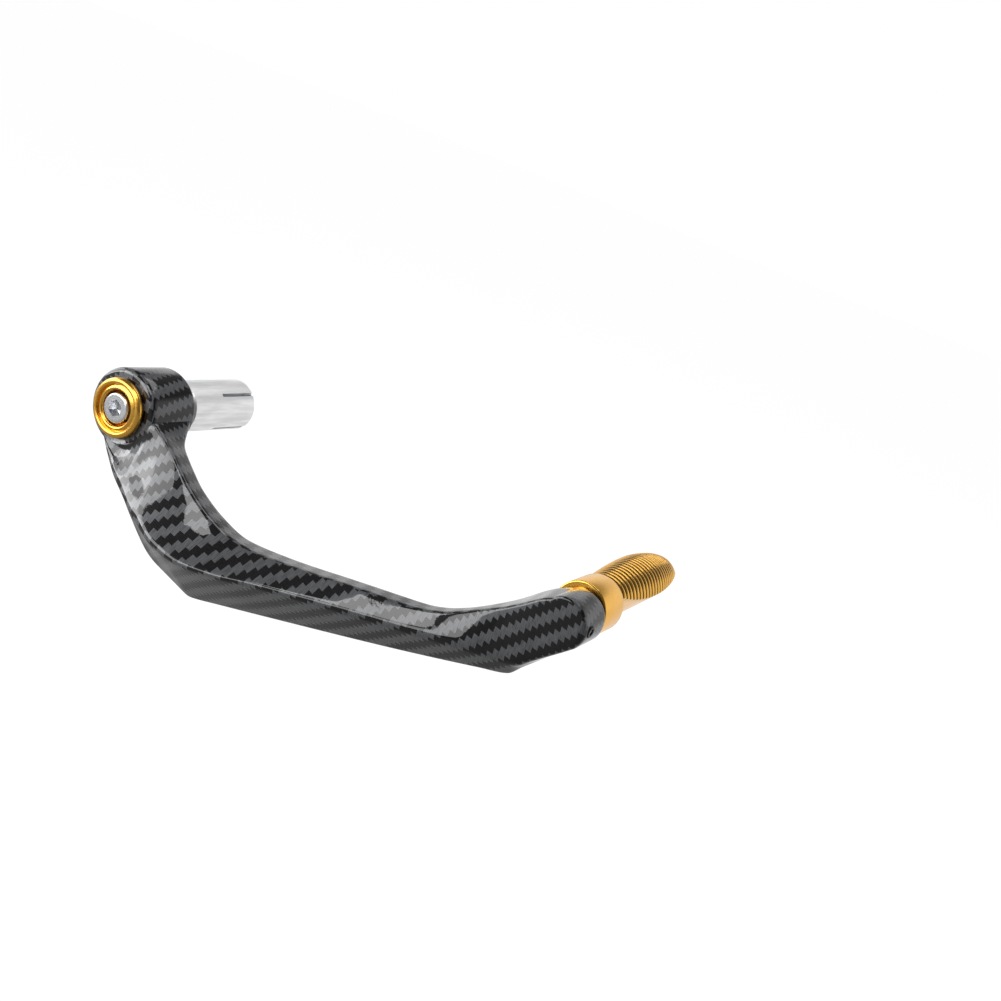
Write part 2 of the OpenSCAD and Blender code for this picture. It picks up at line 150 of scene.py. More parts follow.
def rounded(before, corner, after, radius, steps):
    """A corner between two others as a quadratic arc, which starts and ends radius away from it,
    but at most CORNER_SHARE of the way to its neighbours."""
    ends = []
    for other in (before, after):
        share = np.minimum(CORNER_SHARE, radius / np.linalg.norm(other - corner, axis=1))
        ends.append(corner + (other - corner) * share[:, None])
    return quadratic(ends[0], corner, ends[1], np.linspace(0, 1, steps))


def straight(start, end, steps):
    """Evenly spaced points between start and end, both left out."""
    s = np.linspace(0, 1, steps + 2)[1:-1][None, :, None]
    return start[:, None] * (1 - s) + end[:, None] * s


def blade_rings(x):
    """The blade's outline across each x. Its corners follow the five edges, and past the nose's
    tangent points the half circle of the nose. Its faces are straight, but for the broad one,
    a quadratic whose middle eases from level with the boss to the line between its edges."""
    nose = np.sqrt(np.maximum(0, NOSE_RADIUS**2 - (x - NOSE_X) ** 2))
    corners = []
    for table, back, is_upper in EDGES:
        p = edge(table, x)
        drawn = np.maximum(0, x - (NOSE_X + NOSE_RADIUS - abs(back)))
        p[:, 0] += np.sign(back) * (abs(back) - np.sqrt(np.maximum(0, back**2 - drawn**2)))
        on_nose = x > NOSE_X + (UPPER_TANGENT if is_upper else LOWER_TANGENT) * NOSE_RADIUS
        p[:, 1] = np.where(on_nose, NOSE_Z + (nose if is_upper else -nose), p[:, 1])
        corners.append(eased(x, p))
    arcs = [
        rounded(corners[k - 1], corners[k], corners[(k + 1) % len(corners)], *rounding)
        for k, rounding in enumerate(CORNER_ROUNDS)
    ]
    inner, ridge = corners[1], corners[2]
    near = np.clip((BROAD_FLAT_FROM - x) / (BROAD_FLAT_FROM - BROAD_LEVEL_TO), 0, 1)[:, None]
    middle = inner + (ridge - inner) * BROAD_BEND
    middle[:, :1] += (inner[:, :1] - middle[:, :1]) * (near**2 * (3 - 2 * near))
    broad = quadratic(inner, middle, ridge, np.linspace(CORNER_SHARE, 1 - CORNER_SHARE, BROAD_POINTS))
    # Each part of the outline, with the number of points between it and the next part.
    parts = ((arcs[0], 3), (arcs[1], 1), (broad, 1), (arcs[2], 4), (arcs[3], 0), (arcs[4], 7))
    ring = []
    for k, (part, between) in enumerate(parts):
        following = parts[(k + 1) % len(parts)][0]
        ring += [part, straight(part[:, -1], following[:, 0], between)]
    ring = np.concatenate(ring, axis=1)
    return np.concatenate([np.broadcast_to(x[:, None, None], ring.shape[:2] + (1,)), ring], axis=2)


def closed_skin(name, rings, place, sides=(), layer="film", loop=False):
    """A mesh over rings of points in millimetres, joined in order. A face closes each end, or the
    last ring joins the first where loop is true. place is the finish's own [u, v] at every point,
    and sides gives other places for the faces that start at some columns of the rings."""
    count, columns = rings.shape[:2]
    ring, column = np.meshgrid(np.arange(count if loop else count - 1), np.arange(columns), indexing="ij")
    onward, beside = (ring + 1) % count, (column + 1) % columns
    faces = np.stack([
        ring * columns + column, onward * columns + column,
        onward * columns + beside, ring * columns + beside,
    ], axis=-1)
    numbers = np.arange(count * columns)
    ends = [] if loop else [numbers[:columns].tolist(), numbers[: -columns - 1 : -1].tolist()]
    mesh = bpy.data.meshes.new(name)
    in_metres = rings.reshape(-1, 3) / 1000
    mesh.from_pydata(in_metres.tolist(), [], faces.reshape(-1, 4).tolist() + ends)
    place = place.reshape(-1, 2)
    corners = place[faces]
    for side, other in sides:
        corners[:, side] = other.reshape(-1, 2)[faces[:, side]]
    corners = np.concatenate([corners.reshape(-1, 2)] + [place[end] for end in ends])
    mesh.uv_layers.new(name=layer).data.foreach_set("uv", corners.astype(np.float32).ravel())
    mesh.update()
    piece = bpy.data.objects.new(name, mesh)
    bpy.context.scene.collection.objects.link(piece)
    return piece


def length_along(points):
    """Distance along a line of points from its first."""
    steps = np.linalg.norm(np.diff(np.array(points, float), axis=0), axis=1)
    return np.concatenate([[0], np.cumsum(steps)])


def arc(r, y, radius, start, end, steps=9):
    """Points on a circle about [r, y], from one angle in degrees to another."""
    a = np.radians(np.linspace(start, end, steps))
    return np.stack([r + radius * np.cos(a), y + radius * np.sin(a)], axis=1).tolist()


# A turned shape that is solid to its axis closes this near to it.
AXIS = 0.01


def turned(profile, count=128, centre=(0, 0)):
    """Rings of a profile [radius, y] about the Y axis through centre [x, z]: one ring per point
    of the profile, and round it count points at radius times cosine and sine, from straight down."""
    radius, y = np.array(profile, float).T[:, :, None]
    angle = -np.pi / 2 + np.linspace(0, 2 * np.pi, count, endpoint=False)
    x = centre[0] + radius * np.cos(angle)
    z = centre[1] + radius * np.sin(angle)
    return np.stack([x, np.broadcast_to(y, x.shape), z], axis=-1)


def cut(piece, tool, operation="DIFFERENCE"):
    """Subtracts or joins a second closed mesh, keeps the result in the piece and drops the tool."""
    step = piece.modifiers.new("cut", "BOOLEAN")
    step.operation, step.solver, step.object = operation, "EXACT", tool
    bpy.context.view_layer.update()
    result = bpy.data.meshes.new_from_object(piece.evaluated_get(bpy.context.evaluated_depsgraph_get()))
    piece.modifiers.clear()
    piece.data = result
    bpy.data.objects.remove(tool)


# Where the printed film lies: flat on from the front, so x, and z with a little y. Round the
# sides it is folded back: y and the way along the edge, turned so that its bands still climb.
FILM_TILT, SIDE_TURN = np.radians(8), np.radians(26)


def laid_flat(rings):
    """The film's place [u, v] on the faces seen from the front."""
    up = rings[..., 1] * np.sin(FILM_TILT) + rings[..., 2] * np.cos(FILM_TILT)
    return np.stack([rings[..., 0], up], axis=-1)


def folded_back(rings, girth):
    """The film's place [u, v] round the sides, for a distance girth along the edge."""
    y = rings[..., 1]
    u = y * np.cos(SIDE_TURN) - girth * np.sin(SIDE_TURN)
    v = y * np.sin(SIDE_TURN) + girth * np.cos(SIDE_TURN)
    return np.stack([u, v], axis=-1)


# The rings are close together at the boss, and follow the nose's half circle by its angle.
BLADE_START, BOSS_END, NOSE_START = -9.5, 14, NOSE_X - 0.2
BOSS_RINGS, RING_STEP, NOSE_RINGS, LAST_ANGLE = 48, 0.6, 26, 3
along = np.concatenate([
    np.linspace(BLADE_START, BOSS_END, BOSS_RINGS),
    np.arange(BOSS_END + 0.5, NOSE_START, RING_STEP),
    NOSE_X + NOSE_RADIUS * np.cos(np.radians(np.linspace(90, LAST_ANGLE, NOSE_RINGS))),
])
# The outline runs the other way round, so that the faces point outwards. The sides' faces are
# numbered as blade_rings orders them, and UPPER_MIDDLE is a point half way across the upper side.
rings = blade_rings(along)[:, ::-1]
last = rings.shape[1] - 2
UPPER_SIDE, BEVEL, LOWER_SIDE, UPPER_MIDDLE = np.arange(3, 14), np.arange(32, 44), np.arange(44, 51), 8
girth = length_along(rings[:, last + 1 - UPPER_MIDDLE][:, [0, 2]])[:, None]
# On the bevel the film runs on over the ridge, so its place there goes on across the bevel.
across = last + 1 - np.arange(BEVEL[0], BEVEL[-1] + 2)
over_ridge = laid_flat(rings)
width = np.cumsum(np.linalg.norm(np.diff(rings[:, across, 1:], axis=1), axis=2), axis=1)
over_ridge[:, across[1:], 1] = over_ridge[:, across[:1], 1] - width
arm = closed_skin("guard_arm_moulding", rings, laid_flat(rings), [
    (last - UPPER_SIDE, folded_back(rings, -girth)),
    (last - LOWER_SIDE, folded_back(rings, girth)),
    (last - BEVEL, over_ridge),
])

# The boss. The film folds back on the rings between the middles of its two roundings.
BOSS_SIDE = slice(6, 15)
rings = turned(
    [[AXIS, FRONT_Y]]
    + arc(HEAD_RADIUS - FRONT_ROUND, FRONT_Y + FRONT_ROUND, FRONT_ROUND, -90, 0)
    + arc(HEAD_RADIUS - REAR_ROUND, REAR_Y - REAR_ROUND, REAR_ROUND, 0, 90)
    + [[LAND_RADIUS, REAR_Y], [LAND_RADIUS, LAND_Y], [AXIS, LAND_Y]]
)
girth = HEAD_RADIUS * np.linspace(-np.pi, np.pi, rings.shape[1], endpoint=False)
place = laid_flat(rings)
place[BOSS_SIDE] = folded_back(rings, girth)[BOSS_SIDE]
cut(arm, closed_skin("boss", rings, place), "UNION")

# The bores for the cap, the bolt and the spigot run along Y, and each runs out into the open. The
# bolt's bore starts inside the cap's.
OPEN_FRONT_Y, OPEN_MIDDLE_Y, OPEN_REAR_Y = -30.3, 1, 5
for radius, start, end, centre in (
    (CAP_BORE, OPEN_FRONT_Y, CAP_BORE_Y, (0, 0)),
    (BOLT_BORE, CAP_BORE_Y - 1, OPEN_MIDDLE_Y, (0, 0)),
    (SPIGOT_BORE, SPIGOT_BORE_Y, OPEN_REAR_Y, (GRIP_X, GRIP_Z)),
):
    rings = turned([[AXIS, start], [radius, start], [radius, end], [AXIS, end]], 96, centre)
    cut(arm, closed_skin("bore", rings, laid_flat(rings)))
# The screw's bore runs along X from the spigot's axis out through the nose.
SCREW_BORE_LENGTH = 20
rings = turned([
    [AXIS, 0], [SCREW_BORE, 0], [SCREW_BORE, SCREW_BORE_LENGTH], [AXIS, SCREW_BORE_LENGTH],
], 48)
rings = np.stack([GRIP_X + rings[..., 1], rings[..., 2] + SCREW_Y, rings[..., 0] + GRIP_Z], axis=-1)
cut(arm, closed_skin("screw_bore", rings, laid_flat(rings)))


def set_inputs(node, inputs):
    """Sets a node's inputs, given by name or number, to plain values or links outputs to them."""
    for key, value in inputs.items():
        if isinstance(value, bpy.types.NodeSocket):
            node.id_data.links.new(value, node.inputs[key])
        else:
            node.inputs[key].default_value = value


def add_node(tree, kind, inputs=None, **settings):
    """Adds a shader node with its settings and inputs."""
    node = tree.nodes.new("ShaderNode" + kind)
    for key, value in settings.items():
        setattr(node, key, value)
    set_inputs(node, inputs or {})
    return node


def new_material(name):
    """A material, its surface shader, and put, which adds a node to it."""
    material = bpy.data.materials.new(name)
    material.use_nodes = True
    return material, material.node_tree.nodes["Principled BSDF"], partial(add_node, material.node_tree)


def maths(put, operation, *values):
    """The result of one operation on numbers or outputs."""
    return put("Math", dict(enumerate(values)), operation=operation).outputs[0]


def ranged(put, value, start, end, low, high, way="LINEAR"):
    """Takes a value's range from start to end onto low to high, and holds it past both."""
    inputs = {0: value, 1: start, 2: end, 3: low, 4: high}
    return put("MapRange", inputs, interpolation_type=way).outputs[0]


def spread(put, value, low, high):
    """Stretches the middle range of a noise, where most of it lies, onto low to high."""
    return ranged(put, value, 0.35, 0.65, low, high)


def blend(put, share, first, second):
    """Mixes two colours, or colour outputs, by share."""
    inputs = {0: share}
    for number, colour in ((6, first), (7, second)):
        inputs[number] = colour if isinstance(colour, bpy.types.NodeSocket) else (*colour, 1)
    return put("Mix", inputs, data_type="RGBA").outputs[2]


def noise(put, place, scale, detail):
    """A noise at a place, scale times as fine as that place's unit."""
    return put("TexNoise", {"Vector": place, "Scale": scale, "Detail": detail}).outputs[0]


def in_space(put):
    """A point's place on its piece in metres."""
    return put("TexCoord").outputs["Object"]


def bumped(put, height, strength, distance):
    """A surface direction that is tilted by a height, whose full range is distance in metres."""
    return put("Bump", {"Strength": strength, "Distance": distance, "Height": height}).outputs[0]


def finish(piece, material, node, angle=30):
    """Dresses a new piece that stands for a CAD node, and shades it smooth, but for edges sharper
    than angle in degrees."""
    piece.data.shade_smooth()
    piece.data.set_sharp_from_angle(angle=np.radians(angle))
    piece.data.materials.clear()
    piece.data.materials.append(material)
    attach(piece, "root")
    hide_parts(node)


# A printed two over two twill under a thick clear coat. Its bands climb to the tip, and the tows
# are drawn out across the bands, because the film was stretched as it was laid on.
TOW_ALONG, TOW_ACROSS, BAND_ANGLE, DIAGONAL = 1.6, 2.15, np.radians(42), 2**0.5
LIGHT_TOW, DARK_TOW = (0.108, 0.111, 0.117), (0.005, 0.005, 0.006)
THREADS_PER_TOW, THREAD_BREAKS = 9.0, 0.7
LIGHT_TOW_SHEEN, TWILL_REPEAT = 0.35, 4
carbon, surface, put = new_material("carbon_film")
film = put("UVMap", uv_map="film").outputs[0]


def film_way(x, y):
    """The film's place measured along the direction [x, y]."""
    return put("VectorMath", {0: film, 1: (x, y, 0)}, operation="DOT_PRODUCT").outputs["Value"]


band = film_way(np.cos(BAND_ANGLE) / TOW_ALONG / DIAGONAL, np.sin(BAND_ANGLE) / TOW_ALONG / DIAGONAL)
climb = film_way(-np.sin(BAND_ANGLE) / TOW_ACROSS / DIAGONAL, np.cos(BAND_ANGLE) / TOW_ACROSS / DIAGONAL)
warp, weft = maths(put, "ADD", band, climb), maths(put, "SUBTRACT", band, climb)
# A tow passes over two others and under two, one place on in each row, so the light tow is over
# at steps 0 and 1 of the repeat.
step = maths(put, "SUBTRACT", maths(put, "FLOOR", warp), maths(put, "FLOOR", weft))
over = maths(put, "LESS_THAN", maths(put, "FLOORED_MODULO", step, TWILL_REPEAT), 1.5)
# Threads run along each tow: noise that is drawn out along it.
threads = []
for short, long in ((warp, weft), (weft, warp)):
    finely = maths(put, "MULTIPLY", short, THREADS_PER_TOW)
    slowly = maths(put, "MULTIPLY", long, THREAD_BREAKS)
    threads.append(noise(put, put("CombineXYZ", {0: finely, 1: slowly}).outputs[0], 1.0, 1.0))
light_tow = blend(put, spread(put, threads[1], 0.55, 1.25), (0, 0, 0), LIGHT_TOW)
dark_tow = blend(put, spread(put, threads[0], 0.6, 1.3), (0, 0, 0), DARK_TOW)
set_inputs(surface, {
    "Base Color": blend(put, over, dark_tow, light_tow),
    "Roughness": spread(put, threads[1], 0.40, 0.52),
    "Specular IOR Level": 0.08,
    "Metallic": maths(put, "MULTIPLY", over, LIGHT_TOW_SHEEN),
    "Normal": bumped(put, threads[1], 0.15, 0.0001),
    "Coat Weight": 1.0,
    "Coat Roughness": 0.03,
    "Coat IOR": 1.45,
    # The clear coat is a little wavy where it flowed before it set.
    "Coat Normal": bumped(put, noise(put, in_space(put), 800.0, 2.0), 0.3, 0.00003),
})
finish(arm, carbon, "guard_arm", 32)


# Cap washer
# Turned aluminium cup, gold anodised, that covers the boss and takes the bolt's pull.
# The bolt's head sits in its well and a round bead runs round its rim.
CAP_BACK_Y, SEAT_Y = -16.25, -17.65
CAP_SPIGOT, WELL_RADIUS = 7, 5.9
BEAD_AT, BEAD_Y, BEAD_RADIUS = 8.75, -22.55, 1.25
LIP = [[WELL_RADIUS, -22.6], [6.0, -23.0], [6.35, -23.4], [6.6, -23.49], [6.8, -23.5], [7.85, -22.8]]


def turned_skin(name, rings, profile, depth=0, loop=False):
    """A skin over a turned profile's rings. Its layer "turning" holds how deep in a groove a point
    lies, from 0 to 1, and its length along the profile in millimetres."""
    length = np.broadcast_to(length_along(profile)[:, None], rings.shape[:2])
    place = np.stack([depth + 0 * length, length], axis=-1)
    return closed_skin(name, rings, place, layer="turning", loop=loop)


def lathe(name, profile, count=128, loop=False):
    """A turned mesh with no grooves about the Y axis."""
    return turned_skin(name, turned(profile, count), profile, loop=loop)


def lathe_marks(put, lines):
    """How deep in a groove a point lies, and the fine lines that the lathe left: a noise of the
    length along the profile alone, with so many lines per millimetre."""
    turning = put("SeparateXYZ", {0: put("UVMap", uv_map="turning").outputs[0]})
    length = maths(put, "MULTIPLY", turning.outputs[1], lines)
    marks = put("TexNoise", {"W": length, "Scale": 1.0, "Detail": 2.0}, noise_dimensions="1D")
    return turning.outputs[0], marks.outputs[0]


# How much of a turned metal's variation comes from the lathe's lines, how dark the painted shade at
# the bottom of a groove is beside the dark colour, and how much of the groove's colour it covers.
# Then the roughness where the metal is darkest and lightest, as shares of its own.
LINE_SHARE, GROOVE_SHADE, GROOVE_COVER = 0.6, 0.25, 0.9
ROUGHER, SMOOTHER = 1.2, 0.85


def turned_metal(name, light, dark, rough, lines, depth):
    """A bare metal finish as it comes off the lathe: fine lines round the piece, in colour,
    roughness and height, at so many per millimetre, a slow cloud over all of it, and painted shade in the
    grooves."""
    material, surface, put = new_material(name)
    groove, line = lathe_marks(put, lines)
    cloud = noise(put, in_space(put), 220.0, 3.0)
    lined, clouded = maths(put, "MULTIPLY", line, LINE_SHARE), maths(put, "MULTIPLY", cloud, 1 - LINE_SHARE)
    both = maths(put, "ADD", lined, clouded)
    bare = blend(put, spread(put, both, 0, 1), dark, light)
    # Painted shade: the bottoms of the grooves take GROOVE_SHADE times the dark colour, by how deep a point
    # lies.
    painted_groove_shade = tuple(GROOVE_SHADE * c for c in dark)
    set_inputs(surface, {
        "Base Color": blend(put, maths(put, "MULTIPLY", groove, GROOVE_COVER), bare, painted_groove_shade),
        "Roughness": spread(put, both, rough * ROUGHER, rough * SMOOTHER),
        "Metallic": 1.0,
        "Normal": bumped(put, line, depth, 0.00005),
    })
    return material, surface


cap = lathe("cap_washer_turned", (
    [[BOLT_BORE, CAP_BACK_Y], [BOLT_BORE, SEAT_Y], [WELL_RADIUS, SEAT_Y]] + LIP
    + arc(BEAD_AT, BEAD_Y, BEAD_RADIUS, -120, 90, 25)
    + [[CAP_SPIGOT, FRONT_Y], [CAP_SPIGOT, CAP_BACK_Y]]
), 192, loop=True)
gold, surface = turned_metal(
    "gold_anodised", light=(0.92, 0.51, 0.085), dark=(0.82, 0.42, 0.06), rough=0.27, lines=7.0, depth=0.08,
)
set_inputs(surface, {"Coat Weight": 0.25, "Coat Roughness": 0.15})
finish(cap, gold, "cap_washer", 40)


# Bar bolt
# M6 plated steel socket head bolt, which pulls the nut into the sleeve. Its head has a rounded
# edge and a 5 mm hexagon socket that ends in the drill's cone.
BOLT_RADIUS, BOLT_CHAMFER = 3, 0.8
BOLT_HEAD_RADIUS, BOLT_HEAD_ROUND, BOLT_HEAD_FLAT = 5, 0.6, 3.9
BOLT_FRONT_Y, BOLT_END_Y = -23.65, 27.35
HEXAGON_CORNER, SOCKET_Y, DRILL_Y = 2.887, -20.65, -19.9
IN_FRONT_Y = -25
bolt = lathe("bar_bolt_turned", (
    [[AXIS, BOLT_FRONT_Y], [BOLT_HEAD_FLAT, BOLT_FRONT_Y]]
    + arc(BOLT_HEAD_RADIUS - BOLT_HEAD_ROUND, BOLT_FRONT_Y + BOLT_HEAD_ROUND, BOLT_HEAD_ROUND, -90, 0, 7)
    + [[BOLT_HEAD_RADIUS, SEAT_Y], [BOLT_RADIUS, SEAT_Y], [BOLT_RADIUS, BOLT_END_Y - BOLT_CHAMFER]]
    + [[BOLT_RADIUS - BOLT_CHAMFER, BOLT_END_Y], [AXIS, BOLT_END_Y]]
))
cut(bolt, lathe("socket", [
    [AXIS, IN_FRONT_Y], [HEXAGON_CORNER, IN_FRONT_Y], [HEXAGON_CORNER, SOCKET_Y], [AXIS, DRILL_Y],
], 6))
plating, surface = turned_metal(
    "bright_plating", light=(0.80, 0.81, 0.83), dark=(0.68, 0.69, 0.71), rough=0.27, lines=5.0, depth=0.08,
)
finish(bolt, plating, "bar_bolt")


# Expander sleeve
# Aluminium sleeve turned in one piece with its neck and slit four times so that it can open
# inside the handlebar. Left as turned, with grey scuffs along it from being pushed in.
NECK_RADIUS, SLEEVE_RADIUS, SLEEVE_END_Y = 5.8, 9, 26.5
START_CHAMFER, END_CHAMFER = 0.4, 0.3
MOUTH_RADIUS = 7.55
CONE_WIDE, CONE_WIDE_Y = 6.9, 23.35
CONE_NARROW, CONE_NARROW_Y = 4, 8.85
SLITS_AT, SLIT_HALF_WIDTH, SLIT_Y = np.radians([45, 135, 225, 315]), 0.6, 12.5
SLIT_FROM, SLIT_TO, PAST_SLEEVE_Y = 0.5, 12, 30
sleeve = lathe("expander_sleeve_turned", [
    [BOLT_BORE, LAND_Y], [NECK_RADIUS, LAND_Y], [NECK_RADIUS, 0],
    [SLEEVE_RADIUS - START_CHAMFER, 0], [SLEEVE_RADIUS, START_CHAMFER],
    [SLEEVE_RADIUS, SLEEVE_END_Y - END_CHAMFER], [SLEEVE_RADIUS - END_CHAMFER, SLEEVE_END_Y],
    [MOUTH_RADIUS, SLEEVE_END_Y], [MOUTH_RADIUS, CONE_WIDE_Y], [CONE_WIDE, CONE_WIDE_Y],
    [CONE_NARROW, CONE_NARROW_Y], [BOLT_BORE, CONE_NARROW_Y],
], loop=True)


def bar(name, outline, start, end):
    """A closed bar: an outline [x, 0, z] carried along Y from start to end."""
    rings = np.array(outline, float)[None] + np.array([[[0, start, 0]], [[0, end, 0]]])
    return closed_skin(name, rings, rings[..., :2], layer="turning")


for turn in SLITS_AT:
    outward = np.array([np.cos(turn), 0, np.sin(turn)])
    aside = np.array([-np.sin(turn), 0, np.cos(turn)]) * SLIT_HALF_WIDTH
    cut(sleeve, bar("slit", [
        outward * SLIT_FROM - aside, outward * SLIT_TO - aside,
        outward * SLIT_TO + aside, outward * SLIT_FROM + aside,
    ], SLIT_Y, PAST_SLEEVE_Y))
# The scuffs are a noise drawn out along Y, at so many per metre across and along the sleeve.
SCUFFS = (700, 90, 700)
SCUFFED, BRIGHT = (0.80, 0.80, 0.81), (0.96, 0.96, 0.96)
satin, surface, put = new_material("turned_aluminium")
drawn = put("VectorMath", {0: in_space(put), 1: SCUFFS}, operation="MULTIPLY").outputs[0]
scuff = noise(put, drawn, 1.0, 4.0)
set_inputs(surface, {
    "Base Color": blend(put, spread(put, scuff, 0, 1), SCUFFED, BRIGHT),
    "Roughness": spread(put, scuff, 0.46, 0.32),
    "Metallic": 0.7,
    "Normal": bumped(put, lathe_marks(put, 9.0)[1], 0.3, 0.00005),
})
finish(sleeve, satin, "expander_sleeve")


# Cone nut
# Zinc plated steel nut on the bolt's end, whose cone spreads the sleeve.
# Its rim is knurled to hold it still in the bar.
NUT_START_Y, NUT_RIM_Y, NUT_END_Y = 11.75, 23.5, 27.9
NUT_RIM, NUT_CHAMFER = 7.4, 0.3
CONE_SLOPE = (CONE_WIDE - CONE_NARROW) / (CONE_WIDE_Y - CONE_NARROW_Y)
NUT_NOSE = CONE_NARROW + (NUT_START_Y - CONE_NARROW_Y) * CONE_SLOPE
KNURLS, KNURL_DEPTH, KNURLED_RINGS = 48, 0.3, slice(4, 8)
profile = [
    [BOLT_BORE, NUT_START_Y], [NUT_NOSE, NUT_START_Y], [CONE_WIDE, CONE_WIDE_Y], [CONE_WIDE, NUT_RIM_Y],
    [NUT_RIM - NUT_CHAMFER, NUT_RIM_Y], [NUT_RIM, NUT_RIM_Y + NUT_CHAMFER],
    [NUT_RIM, NUT_END_Y - NUT_CHAMFER], [NUT_RIM - NUT_CHAMFER, NUT_END_Y],
    [BOLT_BORE + NUT_CHAMFER, NUT_END_Y], [BOLT_BORE, NUT_END_Y - NUT_CHAMFER],
]
# Each knurl is a zigzag of four points: its crest, half way down, its root and half way up.
sunk = np.tile([0, 0.5, 1, 0.5], KNURLS)
rings = turned(profile, len(sunk))
rings[KNURLED_RINGS, :, [0, 2]] *= 1 - KNURL_DEPTH / NUT_RIM * sunk[None, :, None]
# The knurls' depth goes to the zinc finish, which paints shade at their roots.
nut = turned_skin("cone_nut_turned", rings, profile, sunk, loop=True)
zinc, surface = turned_metal(
    "zinc_plating", light=(0.66, 0.70, 0.74), dark=(0.50, 0.54, 0.58), rough=0.28, lines=5.0, depth=0.2,
)
finish(nut, zinc, "cone_nut")


# Tip grip
# Turned aluminium grip, gold anodised: a spigot in the nose, a smooth collar and a barrel with
# 23 rounded ribs. One side of the barrel is milled to a shallow bow.
SPIGOT_RADIUS, SPIGOT_Y, SPIGOT_CHAMFER = 4, -8.1, 0.5
SHOULDER_RADIUS, SHOULDER_Y = 7, 3.3
COLLAR_RADIUS, COLLAR_Y, COLLAR_ROUND, COLLAR_END_ROUND = 9.3, 4.3, 0.5, 0.3
BARREL_Y, BARREL_LENGTH, BARREL_ROOT, BARREL_END = 16.7, 46, 8.2, 7.4
RIBS, RIB_DEPTH, RIB_FULLNESS, RIB_POINTS = 23, 0.45, 0.8, 16
BARREL = [
    [0, 8.6], [6.3, 9.15], [12.6, 9.8], [18.9, 10.35], [25.1, 10.65], [28.3, 10.7], [34.6, 10.25],
    [40.9, 9.3], [46, 7.9],
]
MILLED_SIDE, MILLED_DEPTH, MILLED_BOW = np.radians(-40), 6.2, 65.1
MILLED_POINTS, ROUND_POINTS = 14, 98
UNMILLED, NARROWEST = 99, 0.03
# The ribs: each sinks from its crest to the grooves beside it as a half sine to a power.
share = np.arange(RIBS * RIB_POINTS) / RIB_POINTS
down_barrel = share * BARREL_LENGTH / RIBS
sunk = 1 - np.abs(np.sin(np.pi * share)) ** RIB_FULLNESS
ribbed = edge(BARREL, down_barrel)[:, 0] - RIB_DEPTH * sunk
before_ribs = (
    [[AXIS, SPIGOT_Y], [SPIGOT_RADIUS - SPIGOT_CHAMFER, SPIGOT_Y], [SPIGOT_RADIUS, SPIGOT_Y + SPIGOT_CHAMFER]]
    + [[SPIGOT_RADIUS, SHOULDER_Y], [SHOULDER_RADIUS, SHOULDER_Y], [SHOULDER_RADIUS, COLLAR_Y]]
    + [[COLLAR_RADIUS - COLLAR_ROUND, COLLAR_Y]]
    + arc(COLLAR_RADIUS - COLLAR_ROUND, COLLAR_Y + COLLAR_ROUND, COLLAR_ROUND, -90, 0, 6)
    + arc(COLLAR_RADIUS - COLLAR_END_ROUND, BARREL_Y - COLLAR_END_ROUND, COLLAR_END_ROUND, 0, 90, 5)
    + [[BARREL_ROOT, BARREL_Y]]
)
after_ribs = [[BARREL_END, BARREL_Y + BARREL_LENGTH], [AXIS, BARREL_Y + BARREL_LENGTH]]
profile = np.array(before_ribs + np.stack([ribbed, BARREL_Y + down_barrel], axis=1).tolist() + after_ribs)
# Every ring has the same points: some across the milled side, then the rest of the round. The
# milled side's level is an arc along the barrel, and it cuts a ring where the radius passes it.
# Off the barrel the level is out of reach, and the points for it lie within NARROWEST radians.
radius, y = profile[:, :1], profile[:, 1:]
level = MILLED_DEPTH - MILLED_BOW + np.sqrt(MILLED_BOW**2 - (y - BARREL_Y - BARREL_LENGTH / 2) ** 2)
level = np.where(y > BARREL_Y - 0.01, level, UNMILLED)
half_width = np.maximum(NARROWEST, np.arccos(np.clip(level / radius, -1, 1)))
milled = half_width * np.linspace(-1, 1, MILLED_POINTS)
round_part = half_width + 2 * (np.pi - half_width) * np.linspace(0, 1, ROUND_POINTS + 2)[1:-1]
reach = np.concatenate([np.minimum(radius, level / np.cos(milled)), radius + 0 * round_part], axis=1)
angle = MILLED_SIDE + np.concatenate([milled, round_part], axis=1)
rings = np.stack([GRIP_X + reach * np.cos(angle), y + 0 * angle, GRIP_Z + reach * np.sin(angle)], axis=-1)
# How deep in a rib's groove each point lies, off the milled side. The gold finish paints shade there.
depth = np.concatenate([np.zeros(len(before_ribs)), sunk, np.zeros(len(after_ribs))])[:, None]
is_round = reach > radius - 1e-9
grip = turned_skin("tip_grip_turned", rings, profile, depth * is_round)
# The flat that the screw bears on is cut across the spigot.
FLAT_FROM_AXIS, FLAT_SIZE, FLAT_Y, FLAT_END_Y = 3.4, 8, -9.9, -1.9
flat_x = GRIP_X + FLAT_FROM_AXIS
cut(grip, bar("spigot_flat", [
    [flat_x + FLAT_SIZE, 0, -FLAT_SIZE], [flat_x + FLAT_SIZE, 0, FLAT_SIZE],
    [flat_x, 0, FLAT_SIZE], [flat_x, 0, -FLAT_SIZE],
], FLAT_Y, FLAT_END_Y))
finish(grip, gold, "tip_grip", 32)


# Grip screw
# Black headless steel screw in the nose, which bears on the spigot's flat.
# It is the CAD solid, with a finish of its own.
black, surface, put = new_material("black_steel")
grain = noise(put, in_space(put), 900.0, 3.0)
set_inputs(surface, {
    "Base Color": blend(put, spread(put, grain, 0, 1), (0.018, 0.018, 0.02), (0.045, 0.045, 0.048)),
    "Roughness": spread(put, grain, 0.32, 0.5),
    "Metallic": 0.6,
    "Normal": bumped(put, grain, 0.2, 0.00005),
})
screw = nodes["grip_screw"]
screw.data.materials.clear()
screw.data.materials.append(black)


